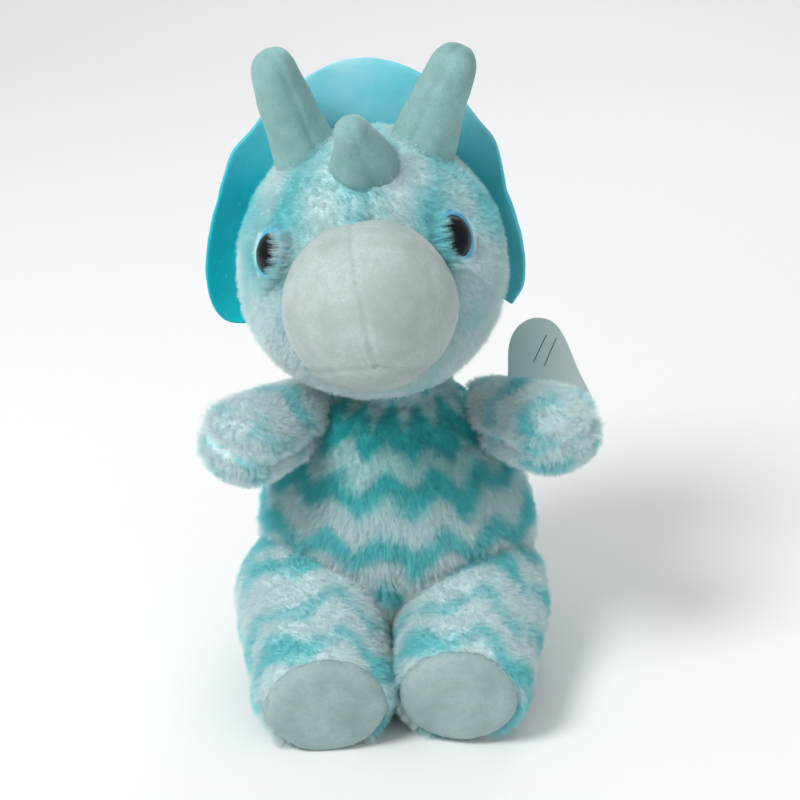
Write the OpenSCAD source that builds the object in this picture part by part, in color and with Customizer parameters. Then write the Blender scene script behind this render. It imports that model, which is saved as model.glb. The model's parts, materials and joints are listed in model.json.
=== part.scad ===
// Seated stuffed dinosaur with three horns and a neck frill, in millimetres.
// +Z is up and the toy faces -Y. The origin is on the surface that it sits on,
// at the centre of its box. Left and right are as seen from the front.
// Limbs, horns and tail are round stubs: fabric covers over a core of stuffing.

/* [Torso] */
// Radius of the belly
belly_r = 45; // [44:0.5:46]
// Height of the belly's centre above the seat
belly_z = 38; // [37:0.5:39]
// Radius of the chest
chest_r = 31.5; // [30:0.5:32]
// Height of the chest's centre above the seat
chest_z = 66; // [64:0.5:67]
// Thickness of the fur fabric with its backing
fabric = 2.5; // [2:0.5:3]

/* [Head] */
// Radius of the head
head_r = 46; // [45:0.5:47]
// Height of the head's centre above the neck ball
head_up = 49.5; // [49:0.5:52]
// How far the head leans to the left
head_lean = 3; // [0:1:5]
// Radius of the snout
snout_r = 28.5; // [27:0.5:30]
// How far the snout's centre stands in front of the head's centre
snout_out = 46; // [42:1:48]

/* [Horns and frill] */
// Height of a brow horn's tip centre above the head's centre
brow_horn_up = 74; // [66:1:78]
// Height of the nose horn's tip centre above the head's centre
nose_horn_up = 57; // [54:1:62]
// Radius of a horn at its foot
horn_foot_r = 11; // [10:0.5:12]
// Radius of a horn's round tip
horn_tip_r = 6.5; // [5:0.5:7]
// Half the width of the frill
frill_half_w = 57; // [54:1:60]
// Height of the frill's top lobe above the head's centre
frill_up = 68; // [64:1:72]
// Thickness of one felt layer
felt = 1.6; // [1:0.2:2]

/* [Eyes] */
// Radius of an eye's black dome
eye_r = 7.5; // [6.5:0.5:8]
// Width of the glitter rim around it
rim_w = 1.5; // [1:0.25:2]

/* [Arms] */
// Radius of an arm at the shoulder
shoulder_r = 16; // [15:0.5:17]
// Radius of the hand
hand_r = 18.5; // [17:0.5:19]

/* [Legs] */
// Radius of a leg at the hip
hip_r = 24; // [22:0.5:25]
// Radius of the foot
foot_r = 21; // [19:0.5:22]
// How far the foot's centre stands in front of the torso's axis
foot_out = 69; // [66:1:72]

/* [Tail] */
// How far the tail's tip centre stands behind the torso's axis
tail_out = 64; // [58:1:68]

/* [Hidden] */

left = -1;
right = 1;
far = 300;

// Colours of the fabrics and the plastic
fur_colour = [0.55, 0.80, 0.81];
smooth_colour = [0.72, 0.80, 0.79];
felt_colour = [0.16, 0.60, 0.70];
filling_colour = [0.95, 0.95, 0.93];

// Room between bodies that move against each other
joint_gap = 0.6;
round_steps = 8;

// Neck: a ball of stuffing that the head turns and nods on
neck_ball_r = 14;
neck_opening_r = 17;
neck = [0, 0, chest_z + chest_r + 3];

// Head: its centre stands a little to the left and in front of the neck
head = neck + [-6, -8, head_up];
snout = head + [0, -snout_out, 0];
chin_slope = 21;
chin_drop = 0.76 * snout_r;

// Horns, from the head's centre; [foot, tip] of each
nose_horn = [head + [0, -28, 31], head + [0, -38, nose_horn_up]];
brow_foot = [20, 2, 34];
brow_tip_out = 32;
brow_tip_forward = 5;

// Frill: sewn in behind the middle of the head
frill_y = 18;
top_lobe_r = 29;
side_lobe_r = 21;
frill_hole_r = 0.2 + sqrt(pow(head_r - fabric, 2) - pow(frill_y, 2));
frill_seam_r = sqrt(pow(head_r, 2) - pow(frill_y + 2 * felt, 2));

// Eyes: direction of each eye from the head's centre, and heights along it
eye_turn = 50;
eye_lift = 17;
eye_seat = head_r - 1.5;
eye_edge = 1.2;
eye_dome_h = 4;
shank_r = 2;
shank_h = 9;
washer_r = 6.5;
washer_h = 1.2;
washer_top = sqrt(pow(head_r - fabric, 2) - pow(washer_r, 2)) - 0.05;

// Arms: forwards and a little out; [shoulder, hand] on the right.
// bite is the ball of room that an arm needs under its shoulder as it swings
shoulder = [37, -4, 92];
hand = [50, -34, 92];
arm_bite = [25.6, -6.3, 81];
arm_bite_r = 7;

// Legs: forwards, nearly side by side; [hip, foot] on the right.
// bite is the ball of room that a leg needs in the lap as it lifts
hip = [34, -18, 26];
foot = [25, -foot_out, foot_r];
leg_bite = [23, -25.5, 30.6];
leg_bite_r = 28.4;
sole_depth = 7;

// Tail: short, straight back
tail_foot_r = 12;
tail_tip_r = 5;
tail_room_r = 13;
tail_root = [0, 38, 16];
tail_tip = [0, tail_out, 10];

// Seat panel, and the bead pouch on it
seat_r = 22;
pouch_r = 22;
pouch_h = 16;

// Sewn-in care label at the back
label_turn = 125;
label_z = 34;
label_size = [16, 0.6, 12];

// Hang tag: a card on a nylon fastener behind the right arm
tag_pin = [42, 17, 82];
tag_thick = 0.8;
tag_hole_r = 1.5;
tag_discs = [[9.5, 26.5, 10.7], [13, 16, 13.4], [14, 2, 12.4], [0, 0, 4]];
tag_stand_off = 3;
stem_in = 29;
pin_r = 0.4;
pin_h = 5.5;
pin_head = 5;
nylon = 1;
t_bar = 8;

// The toy is shifted so that its box is centred on the origin
body_y = ((foot_out + foot_r) - (tail_out + tail_tip_r)) / 2;

module place() translate([0, body_y, 0]) children();

// Everything of the head leans about the neck ball
module on_head()
    place() translate(neck) rotate([0, -head_lean, 0]) translate(-neck) children();

// A round-ended tapered stub from the ball (a, ra) to the ball (b, rb)
module stub(a, ra, b, rb) {
    d = b - a;
    len = norm(d);
    slope = asin((ra - rb) / len);
    profile = concat(
        [for (i = [0:round_steps]) let (t = -90 + (slope + 90) * i / round_steps)
            [ra * cos(t), ra * sin(t)]],
        [for (i = [0:round_steps]) let (t = slope + (90 - slope) * i / round_steps)
            [rb * cos(t), len + rb * sin(t)]]);
    translate(a)
        rotate([0, acos(d[2] / len), atan2(d[1], d[0])])
            rotate_extrude($fn = 64) polygon(profile);
}

module ball(centre, r) translate(centre) sphere(r = r, $fn = 96);

// A ball whose poles lie along Y, in line with the snout
module forward_ball(centre, r) translate(centre) rotate([90, 0, 0]) sphere(r = r, $fn = 96);

// All space on one side of x = 0, of a y or of a z
module side_half(side) translate([side < 0 ? -far : 0, -far, -far]) cube([far, 2 * far, 2 * far]);
module in_front_of(y) translate([-far, y - far, -far]) cube([2 * far, far, 2 * far]);
module behind(y) translate([-far, y, -far]) cube([2 * far, far, 2 * far]);
module above(z) translate([-far, -far, z]) cube([2 * far, 2 * far, far]);
module below(z) translate([-far, -far, z - far]) cube([2 * far, 2 * far, far]);

// ---------------------------------------------------------------- limbs

function mirrored(p, side) = [side * p[0], p[1], p[2]];

module arm_shape(side, grow = 0)
    stub(mirrored(shoulder, side), shoulder_r + grow, mirrored(hand, side), hand_r + grow);

module leg_shape(side, grow = 0)
    stub(mirrored(hip, side), hip_r + grow, mirrored(foot, side), foot_r + grow);

module tail_shape(grow = 0) stub(tail_root, tail_foot_r + grow, tail_tip, tail_tip_r + grow);

// The room that each limb needs in the torso over its whole travel
module arm_room(side) {
    ball(mirrored(shoulder, side), shoulder_r + joint_gap);
    ball(mirrored(arm_bite, side), arm_bite_r);
}

module leg_room(side) {
    ball(mirrored(hip, side), hip_r + joint_gap);
    ball(mirrored(leg_bite, side), leg_bite_r);
}

module tail_room() ball(tail_root, tail_room_r);

// ---------------------------------------------------------------- torso

// Belly and chest balls, cut flat at the seat; skin is how far the surface is drawn in
module torso_shape(skin = 0)
    difference() {
        union() {
            ball([0, 0, belly_z], belly_r - skin);
            ball([0, 0, chest_z], chest_r - skin);
        }
        below(skin);
    }

module neck_room() ball(neck, neck_ball_r + joint_gap);

module label_shape()
    rotate([0, 0, label_turn])
        translate([belly_r - fabric, -label_size[1] / 2, label_z]) cube(label_size);

module torso_quarter(side, back)
    color(fur_colour) place()
        difference() {
            torso_shape();
            torso_shape(fabric);
            side_half(-side);
            if (back) in_front_of(0);
            if (!back) behind(0);
            cylinder(h = 2 * fabric, r = seat_r, center = true, $fn = 96);
            neck_room();
            arm_room(side);
            leg_room(side);
            if (back) tail_room();
            if (back && side == left) label_shape();
            if (back && side == right) fastener_shape();
        }

module seat_panel()
    color(fur_colour) place() cylinder(h = fabric, r = seat_r, $fn = 96);

// All the room that the limbs and the tail need in the torso
module limb_rooms() {
    for (side = [left, right]) {
        arm_room(side);
        leg_room(side);
    }
    tail_room();
}

module pouch_shape() translate([0, 0, fabric]) cylinder(h = pouch_h, r = pouch_r, $fn = 96);

module bead_pouch()
    color("wheat") place()
        difference() {
            pouch_shape();
            limb_rooms();
        }

module torso_stuffing()
    color(filling_colour) place()
        difference() {
            torso_shape(fabric);
            pouch_shape();
            neck_room();
            limb_rooms();
            fastener_shape();
        }

module care_label() color("white") place() label_shape();

module neck_plug() color(filling_colour) place() ball(neck, neck_ball_r);

// ---------------------------------------------------------------- head

module head_outside() forward_ball(head, head_r);
module head_inside() forward_ball(head, head_r - fabric);
module snout_outside() ball(snout, snout_r);
module snout_inside() ball(snout, snout_r - fabric);

// Local +Z points out of the head through an eye
module at_eye(side)
    translate(head) rotate([90 - eye_lift, 0, side * eye_turn]) children();

module eye_pocket(side)
    at_eye(side) {
        translate([0, 0, eye_seat]) cylinder(h = head_r, r = eye_r + rim_w, $fn = 64);
        cylinder(h = head_r, r = shank_r + 0.05, $fn = 32);
    }

module head_front(side)
    color(fur_colour) on_head()
        difference() {
            head_outside();
            head_inside();
            snout_inside();
            side_half_of_head(-side);
            behind(head[1] + frill_y);
            neck_opening();
            eye_pocket(side);
        }

module side_half_of_head(side) translate([head[0], 0, 0]) side_half(side);

// The opening in the head's covers is a little wider than the ball's room
module neck_opening() ball(neck, neck_opening_r);

module head_back(side)
    color(fur_colour) on_head()
        difference() {
            head_outside();
            head_inside();
            side_half_of_head(-side);
            in_front_of(head[1] + frill_y + 2 * felt);
            neck_opening();
        }

module washer_room(side)
    at_eye(side) {
        translate([0, 0, washer_top - washer_h]) cylinder(h = washer_h, r = washer_r, $fn = 64);
        translate([0, 0, eye_seat - shank_h]) cylinder(h = shank_h, r = shank_r, $fn = 32);
    }

module head_stuffing()
    color(filling_colour) on_head()
        difference() {
            head_inside();
            neck_room();
            for (side = [left, right]) washer_room(side);
        }

// The chin seam is a plane that rises towards the front
module chin_side()
    translate(snout) rotate([-chin_slope, 0, 0]) translate([0, 0, -chin_drop]) below(0);

module snout_shell()
    difference() {
        snout_outside();
        snout_inside();
        head_outside();
    }

module snout_half(side)
    color(smooth_colour) on_head()
        difference() {
            snout_shell();
            side_half_of_head(-side);
            chin_side();
        }

module snout_chin()
    color(smooth_colour) on_head()
        intersection() {
            snout_shell();
            chin_side();
        }

module snout_stuffing()
    color(filling_colour) on_head()
        difference() {
            forward_ball(snout, snout_r - fabric);
            head_inside();
        }

// ---------------------------------------------------------------- horns

module horn(foot_point, tip_point, skin)
    difference() {
        stub(foot_point, horn_foot_r - skin, tip_point, horn_tip_r - skin);
        head_outside();
        snout_outside();
    }

module horn_cover(points)
    color(smooth_colour) on_head()
        difference() {
            horn(points[0], points[1], 0);
            stub(points[0], horn_foot_r - fabric, points[1], horn_tip_r - fabric);
        }

module horn_stuffing(points)
    color(filling_colour) on_head() horn(points[0], points[1], fabric);

function brow_horn(side) = [
    head + mirrored(brow_foot, side),
    head + [side * brow_tip_out, -brow_tip_forward, brow_horn_up]];

// ---------------------------------------------------------------- frill

// The two lobes down the right side
module frill_side() {
    translate([frill_half_w - side_lobe_r - 8, 30]) circle(r = side_lobe_r, $fn = 96);
    polygon([
        [20, -16],
        [frill_half_w - 8, -24],
        [frill_half_w, -18],
        [frill_half_w, 2],
        [frill_half_w - 7, 30],
        [20, 30]]);
}

// Scalloped outline: one lobe over the head and two down each side
module frill_outline() {
    translate([0, frill_up - top_lobe_r]) circle(r = top_lobe_r, $fn = 96);
    frill_side();
    mirror([1, 0]) frill_side();
    circle(r = frill_seam_r, $fn = 96);
}

module frill_layer(depth)
    color(felt_colour) on_head()
        difference() {
            translate([head[0], head[1] + depth + felt, head[2]])
                rotate([90, 0, 0])
                    linear_extrude(height = felt)
                        difference() {
                            frill_outline();
                            circle(r = frill_hole_r, $fn = 96);
                        }
            neck_opening();
        }

// ---------------------------------------------------------------- eyes

module eye_dome(side) {
    cap_r = (pow(eye_r, 2) + pow(eye_dome_h, 2)) / (2 * eye_dome_h);
    cap_half = asin(eye_r / cap_r);
    cap = [for (i = [0:round_steps]) let (t = cap_half * (1 - i / round_steps))
        [cap_r * sin(t), eye_edge + eye_dome_h - cap_r * (1 - cos(t))]];
    color("black") on_head() at_eye(side)
        translate([0, 0, eye_seat])
            rotate_extrude($fn = 64)
                polygon(concat([[0, -shank_h], [shank_r, -shank_h], [shank_r, 0], [eye_r, 0]], cap));
}

module eye_rim(side)
    color("deepskyblue") on_head() at_eye(side)
        translate([0, 0, eye_seat])
            difference() {
                cylinder(h = eye_edge, r = eye_r + rim_w, $fn = 64);
                cylinder(h = 3 * eye_edge, r = eye_r, center = true, $fn = 64);
            }

module eye_washer(side)
    color("white") on_head() at_eye(side)
        translate([0, 0, washer_top - washer_h])
            difference() {
                cylinder(h = washer_h, r = washer_r, $fn = 64);
                cylinder(h = 3 * washer_h, r = shank_r, center = true, $fn = 32);
            }

// ---------------------------------------------------------------- limb pieces

// The arm's seam is level, through the middle of the arm
module arm_half(side, upper)
    color(fur_colour) place()
        difference() {
            arm_shape(side);
            arm_shape(side, -fabric);
            if (upper) below(shoulder[2]);
            if (!upper) above(shoulder[2]);
        }

module arm_stuffing(side) color(filling_colour) place() arm_shape(side, -fabric);

module leg_cover(side)
    color(fur_colour) place()
        difference() {
            leg_shape(side);
            leg_shape(side, -fabric);
            in_front_of(-foot_out - sole_depth);
        }

module sole(side)
    color(smooth_colour) place()
        difference() {
            leg_shape(side);
            leg_shape(side, -fabric);
            behind(-foot_out - sole_depth);
        }

module leg_stuffing(side) color(filling_colour) place() leg_shape(side, -fabric);

module tail_half(side)
    color(fur_colour) place()
        difference() {
            tail_shape();
            tail_shape(-fabric);
            side_half(-side);
        }

module tail_stuffing() color(filling_colour) place() tail_shape(-fabric);

// ---------------------------------------------------------------- hang tag

// Nylon fastener: a bar inside the torso, a stem through the side seam, and a pin for the card
module fastener_shape() {
    start = tag_pin - [0, tag_stand_off, 0];
    translate(start - [stem_in, nylon / 2, nylon / 2]) cube([stem_in + nylon / 2, nylon, nylon]);
    translate(start - [stem_in, nylon / 2, t_bar / 2]) cube([nylon, nylon, t_bar]);
    translate(start) rotate([-90, 0, 0]) cylinder(h = pin_h, r = pin_r, $fn = 32);
    translate(start + [0, pin_h, 0]) cube([pin_head, nylon, nylon], center = true);
}

module tag_fastener() color("white") place() fastener_shape();

module hang_tag()
    color("gainsboro") place()
        translate([tag_pin[0], tag_pin[1] + tag_thick / 2, tag_pin[2]])
            rotate([90, 0, 0])
                difference() {
                    linear_extrude(height = tag_thick)
                        hull()
                            for (disc = tag_discs)
                                translate([disc[0], disc[1]]) circle(r = disc[2], $fn = 48);
                    cylinder(h = 4 * tag_thick, r = tag_hole_r, center = true, $fn = 32);
                }

// ---------------------------------------------------------------- nodes

torso_quarter(left, false);  // torso_front_left
torso_quarter(right, false);  // torso_front_right
torso_quarter(left, true);  // torso_back_left
torso_quarter(right, true);  // torso_back_right
seat_panel();
torso_stuffing();
bead_pouch();
care_label();
tag_fastener();
neck_plug();
head_front(left);  // head_front_left
head_front(right);  // head_front_right
head_back(left);  // head_back_left
head_back(right);  // head_back_right
head_stuffing();
snout_half(left);  // snout_left
snout_half(right);  // snout_right
snout_chin();
snout_stuffing();
frill_layer(frill_y);  // frill_front
frill_layer(frill_y + felt);  // frill_back
horn_cover(nose_horn);  // nose_horn_cover
horn_stuffing(nose_horn);  // nose_horn_stuffing
horn_cover(brow_horn(left));  // left_brow_horn_cover
horn_stuffing(brow_horn(left));  // left_brow_horn_stuffing
horn_cover(brow_horn(right));  // right_brow_horn_cover
horn_stuffing(brow_horn(right));  // right_brow_horn_stuffing
eye_dome(left);  // left_eye_dome
eye_rim(left);  // left_eye_rim
eye_washer(left);  // left_eye_washer
eye_dome(right);  // right_eye_dome
eye_rim(right);  // right_eye_rim
eye_washer(right);  // right_eye_washer
arm_half(left, true);  // left_arm_upper
arm_half(left, false);  // left_arm_lower
arm_stuffing(left);  // left_arm_stuffing
arm_half(right, true);  // right_arm_upper
arm_half(right, false);  // right_arm_lower
arm_stuffing(right);  // right_arm_stuffing
leg_cover(left);  // left_leg_cover
sole(left);  // left_sole
leg_stuffing(left);  // left_leg_stuffing
leg_cover(right);  // right_leg_cover
sole(right);  // right_sole
leg_stuffing(right);  // right_leg_stuffing
tail_half(left);  // tail_left
tail_half(right);  // tail_right
tail_stuffing();
hang_tag();
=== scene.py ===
"""A seated stuffed dinosaur: furry shells, smooth snout and horns, a felt frill, eyes and a hang tag.

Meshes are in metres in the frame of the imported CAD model. Sizes are written in millimetres about
the toy's own upright axis, and TO_FRAME, or at() for one point, turns them into that frame.
"""

import json
import math

import bpy
import numpy as np
from mathutils import Matrix, Vector, noise


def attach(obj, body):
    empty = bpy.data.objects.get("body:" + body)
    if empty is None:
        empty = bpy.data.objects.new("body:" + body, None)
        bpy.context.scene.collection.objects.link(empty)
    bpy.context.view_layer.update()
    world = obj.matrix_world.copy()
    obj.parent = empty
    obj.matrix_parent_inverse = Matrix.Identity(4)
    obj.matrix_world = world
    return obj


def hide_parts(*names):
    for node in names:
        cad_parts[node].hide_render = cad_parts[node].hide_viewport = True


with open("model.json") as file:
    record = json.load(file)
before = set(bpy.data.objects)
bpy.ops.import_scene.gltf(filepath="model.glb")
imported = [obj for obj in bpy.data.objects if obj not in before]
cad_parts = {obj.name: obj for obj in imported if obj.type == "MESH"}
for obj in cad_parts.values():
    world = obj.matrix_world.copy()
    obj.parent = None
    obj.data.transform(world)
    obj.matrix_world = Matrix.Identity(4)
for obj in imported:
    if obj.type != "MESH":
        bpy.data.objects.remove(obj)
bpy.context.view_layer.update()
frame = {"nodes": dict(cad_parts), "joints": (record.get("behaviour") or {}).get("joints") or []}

MM = 0.001
FAR = 99  # mm: out of any seam's reach
LEFT, RIGHT = -1, 1
JOINTS = {joint["name"]: joint for joint in frame["joints"]}
NECK_PLACE = Vector(JOINTS["head_turn"]["pos_m"])
BODY_Y = NECK_PLACE.y / MM
HEAD_LEAN_DEG = 3
SEED = 7

# Centres and sizes, in mm about the toy's axis
NECK = Vector((0, 0, 100.5))
NECK_R = 17.5
HEAD = Vector((-6, -8, 150))
HEAD_R = 43.8
SNOUT = HEAD + Vector((0, -46, 0))
SNOUT_R = 28.5
CHIN_SLOPE_DEG = 21
CHIN_DROP = 0.76 * SNOUT_R
SNOUT_SEAM_TILT_DEG = 9

# The eyes: how far round and up from straight ahead, how deep, and how much further out they look
EYE_TURN_DEG = {LEFT: 51, RIGHT: 45}
EYE_LIFT_DEG = {LEFT: 17, RIGHT: 22}
EYE_SEAT = 42.6
EYE_FACING_DEG = 9
EYE_R = 8.4
EYE_DOME_ROWS = [
    (-3, 0), (-2.9, 4), (-2.5, EYE_R - 1.2), (0, EYE_R - 0.9), (1.8, EYE_R - 1.5), (3.4, EYE_R - 3.2),
    (4.5, EYE_R - 5.8), (4.9, 0)]
EYE_RIM_ROWS = [
    (-2.4, 0), (-2.3, EYE_R - 1.0), (-1.2, EYE_R + 0.4), (0.6, EYE_R + 0.5), (1.4, EYE_R - 0.4), (1.0, 0)]


def at(x, y, z):
    """A point in the frame's metres, from mm about the toy's axis."""
    return Vector((x, y + BODY_Y, z)) * MM


def axis_matrix(start, end, up=(0, 0, 1)):
    """Local Z runs from start to end, and local Y is as near up as it can be. In mm."""
    z = (Vector(end) - Vector(start)).normalized()
    x = Vector(up).cross(z).normalized()
    y = z.cross(x)
    turned = Matrix((x, y, z)).transposed().to_4x4()
    return Matrix.Translation(Vector(start)) @ turned


TO_FRAME = Matrix.Scale(MM, 4) @ Matrix.Translation((0, BODY_Y, 0))
HEAD_LEAN = (
    Matrix.Translation(NECK)
    @ Matrix.Rotation(math.radians(-HEAD_LEAN_DEG), 4, "Y")
    @ Matrix.Translation(-NECK)
)
HEAD_TO_FRAME = TO_FRAME @ HEAD_LEAN


# ---------------------------------------------------------------- meshes


def smooth_rows(rows, steps=5):
    """Catmull-Rom points through (height, radius) rows, radii kept at or above 0."""
    pts = [np.array(r, float) for r in rows]
    pts = [2 * pts[0] - pts[1], *pts, 2 * pts[-1] - pts[-2]]
    out = []
    for a, b, c, d in zip(pts, pts[1:], pts[2:], pts[3:]):
        for i in range(steps):
            t = i / steps
            bend = 2 * a - 5 * b + 4 * c - d
            twist = 3 * b - a - 3 * c + d
            out.append(0.5 * (2 * b + (c - a) * t + bend * t**2 + twist * t**3))
    out.append(pts[-2])
    return [(h, max(r, 0.0)) for h, r in out]


def new_object(name, verts, faces):
    mesh = bpy.data.meshes.new(name)
    mesh.from_pydata([tuple(v) for v in verts], [], faces)
    mesh.validate()
    mesh.update()
    obj = bpy.data.objects.new(name, mesh)
    bpy.context.scene.collection.objects.link(obj)
    return obj


def lathe(name, rows, matrix, wide=1.0, tall=1.0, turns=48):
    """A closed round body about local Z; wide and tall scale it along local X and Y."""
    rows = [r for r in smooth_rows(rows) if r[1] > 0.05]
    verts, faces = [], []
    for height, radius in rows:
        for i in range(turns):
            a = 2 * math.pi * i / turns
            x, y = wide * radius * math.cos(a), tall * radius * math.sin(a)
            verts.append(matrix @ Vector((x, y, height)))
    for j in range(len(rows) - 1):
        for i in range(turns):
            k = (i + 1) % turns
            faces.append((j * turns + i, j * turns + k, (j + 1) * turns + k, (j + 1) * turns + i))
    faces.append(tuple(reversed(range(turns))))
    faces.append(tuple(range((len(rows) - 1) * turns, len(rows) * turns)))
    return new_object(name, verts, faces)


def round_rows(radius, steps=14):
    """Rows of a ball about its centre."""
    angles = [math.pi * i / steps for i in range(steps + 1)]
    return [(-radius * math.cos(a), radius * math.sin(a)) for a in angles]


def settle(obj):
    """Applies every modifier."""
    bpy.context.view_layer.update()
    graph = bpy.context.evaluated_depsgraph_get()
    mesh = bpy.data.meshes.new_from_object(obj.evaluated_get(graph))
    obj.modifiers.clear()
    old = obj.data
    obj.data = mesh
    bpy.data.meshes.remove(old)
    mesh.name = obj.name


def remesh(obj, voxel_mm):
    modifier = obj.modifiers.new("remesh", "REMESH")
    modifier.mode = "VOXEL"
    modifier.voxel_size = voxel_mm * MM
    settle(obj)


def refine(obj, levels):
    modifier = obj.modifiers.new("refine", "SUBSURF")
    modifier.levels = levels
    modifier.render_levels = levels
    settle(obj)


def points_of(obj):
    """The mesh's points in mm about the toy's axis."""
    co = np.empty(len(obj.data.vertices) * 3)
    obj.data.vertices.foreach_get("co", co)
    return co.reshape(-1, 3) / MM - np.array([0, BODY_Y, 0])


def set_points(obj, points):
    co = (points + np.array([0, BODY_Y, 0])) * MM
    obj.data.vertices.foreach_set("co", co.ravel())
    obj.data.update()


def points_in(obj, axes):
    """The mesh's points in the mm axes of a matrix, such as a limb's own."""
    inverse = np.array(axes.inverted())
    return points_of(obj) @ inverse[:3, :3].T + inverse[:3, 3]


def normals_of(obj):
    n = np.empty(len(obj.data.vertices) * 3)
    obj.data.vertex_normals.foreach_get("vector", n)
    return n.reshape(-1, 3)


def bumps(points, size_mm, seed):
    """Smooth noise from about -1 to 1 at each point."""
    return np.array([noise.noise(Vector(p) / size_mm + Vector((seed, 0, 0))) for p in points])


def bell(points, centre, spread_mm):
    """1 at the centre of a bulge, and next to nothing at twice its spread."""
    return np.exp(-((np.linalg.norm(points - np.array(centre), axis=1) / spread_mm) ** 2))


def rough(obj, size_mm, depth_mm, seed):
    """Pushes the surface in and out by smooth noise."""
    p = points_of(obj)
    set_points(obj, p + normals_of(obj) * (depth_mm * bumps(p, size_mm, seed))[:, None])


def groove(obj, distance, depth_mm, width_mm):
    """Sinks a sewn seam where distance, one number per point, is small."""
    p = points_of(obj)
    sink = depth_mm * np.exp(-((distance / width_mm) ** 2))
    set_points(obj, p - normals_of(obj) * sink[:, None])


def puff(obj, pressure, most_mm, pinned=None, frames=18):
    """Inflates a shell with cloth. No point moves further than most_mm, and pinned ones don't move."""
    before = points_of(obj)
    if pinned is not None:
        group = obj.vertex_groups.new(name="pins")
        for i in np.nonzero(pinned)[0]:
            group.add([int(i)], 1.0, "REPLACE")
    cloth = obj.modifiers.new("cloth", "CLOTH")
    settings = cloth.settings
    settings.quality = 4
    settings.mass = 0.2
    settings.tension_stiffness = 25
    settings.compression_stiffness = 25
    settings.bending_stiffness = 0.6
    settings.use_pressure = True
    settings.uniform_pressure_force = pressure
    settings.effector_weights.gravity = 0
    if pinned is not None:
        settings.vertex_group_mass = "pins"
    scene = bpy.context.scene
    for number in range(1, frames + 1):
        scene.frame_set(number)
    graph = bpy.context.evaluated_depsgraph_get()
    swollen = obj.evaluated_get(graph).data
    co = np.empty(len(swollen.vertices) * 3)
    swollen.vertices.foreach_get("co", co)
    obj.modifiers.clear()
    obj.vertex_groups.clear()
    scene.frame_set(1)
    move = co.reshape(-1, 3) / MM - np.array([0, BODY_Y, 0]) - before
    length = np.linalg.norm(move, axis=1)
    move *= np.minimum(1, most_mm / np.maximum(length, 1e-9))[:, None]
    set_points(obj, before + move)


def paint(obj, material):
    """Shades the piece smooth and gives it its first material."""
    obj.data.shade_smooth()
    obj.data.materials.append(material)


# ---------------------------------------------------------------- material nodes


class Tree:
    """A material's nodes, made one at a time."""

    def __init__(self, name):
        self.material = bpy.data.materials.new(name)
        self.material.use_nodes = True
        self.nodes = self.material.node_tree.nodes
        self.links = self.material.node_tree.links
        self.shader = self.nodes["Principled BSDF"]

    def add(self, kind, inputs=None, **settings):
        node = self.nodes.new("ShaderNode" + kind)
        for name, value in settings.items():
            setattr(node, name, value)
        for key, value in (inputs or {}).items():
            self.put(node.inputs[key], value)
        return node

    def put(self, socket, value):
        if isinstance(value, bpy.types.NodeSocket):
            self.links.new(value, socket)
        else:
            socket.default_value = value

    def math(self, operation, a, b=0.0, c=0.0):
        return self.add("Math", {0: a, 1: b, 2: c}, operation=operation).outputs[0]

    def times(self, a, b):
        return self.math("MULTIPLY", a, b)

    def less(self, value):
        """1 minus the value."""
        return self.math("SUBTRACT", 1.0, value)

    def mix(self, factor, a, b):
        node = self.add("Mix", data_type="RGBA")
        self.put(node.inputs[0], factor)
        self.put(node.inputs[6], a)
        self.put(node.inputs[7], b)
        return node.outputs[2]

    def noise(self, vector, scale, detail=2.0, roughness=0.5):
        inputs = {"Vector": vector, "Scale": scale, "Detail": detail, "Roughness": roughness}
        return self.add("TexNoise", inputs).outputs["Fac"]

    def place(self):
        """Where a point is on the piece at rest, in metres."""
        return self.add("TexCoord").outputs["Object"]

    def axes(self, place):
        """A place's X, Y and Z."""
        return self.add("SeparateXYZ", {"Vector": place}).outputs

    def ramp(self, factor, low, high):
        """0 below low, 1 above high, and smooth between them."""
        inputs = {"Value": factor, "From Min": low, "From Max": high}
        return self.add("MapRange", inputs, interpolation_type="SMOOTHSTEP").outputs["Result"]

    def bump(self, height, strength, distance_mm, under=None):
        inputs = {"Height": height, "Strength": strength, "Distance": distance_mm * MM}
        if under is not None:
            inputs["Normal"] = under
        return self.add("Bump", inputs).outputs["Normal"]

    def finish(self, colour, roughness, normal=None, **sockets):
        self.put(self.shader.inputs["Base Color"], colour)
        self.put(self.shader.inputs["Roughness"], roughness)
        if normal is not None:
            self.put(self.shader.inputs["Normal"], normal)
        for name, value in sockets.items():
            self.put(self.shader.inputs[name.replace("_", " ")], value)
        return self.material


def rgb(r, g, b):
    """An sRGB colour of 0 to 255 as the linear colour that a shader takes."""
    def linear(c):
        c /= 255
        return c / 12.92 if c <= 0.04045 else ((c + 0.055) / 1.055) ** 2.4
    return (linear(r), linear(g), linear(b), 1.0)


WHITE_FUR = rgb(228, 242, 242)
# Painted shade: the greyer white of the chest under the head
SHADED_WHITE_FUR = rgb(194, 228, 227)
AQUA_FUR = rgb(132, 222, 226)
SOFT_AQUA_FUR = rgb(116, 217, 221)
# Painted shade: the deeper aqua of the chest under the head
SHADED_AQUA_FUR = rgb(62, 199, 202)
SEAM_FUR = rgb(240, 247, 247)
VELOUR = rgb(187, 200, 199)
VELOUR_SHADE = rgb(160, 175, 173)
# Painted shade under the snout
VELOUR_UNDER_SHADOW = rgb(96, 104, 102)
HORN_VELOUR = rgb(148, 188, 186)
HORN_SHADE = rgb(124, 164, 162)
SOLE_VELOUR = rgb(170, 190, 189)
SOLE_SHADE = rgb(146, 168, 167)
FELT = rgb(24, 186, 202)
# Paler felt: the painted light on the frill's top, and its paler +X side
FELT_TOP = rgb(170, 225, 235)
FELT_CLOUD = rgb(58, 196, 214)
FELT_LINT = rgb(150, 220, 230)
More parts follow.
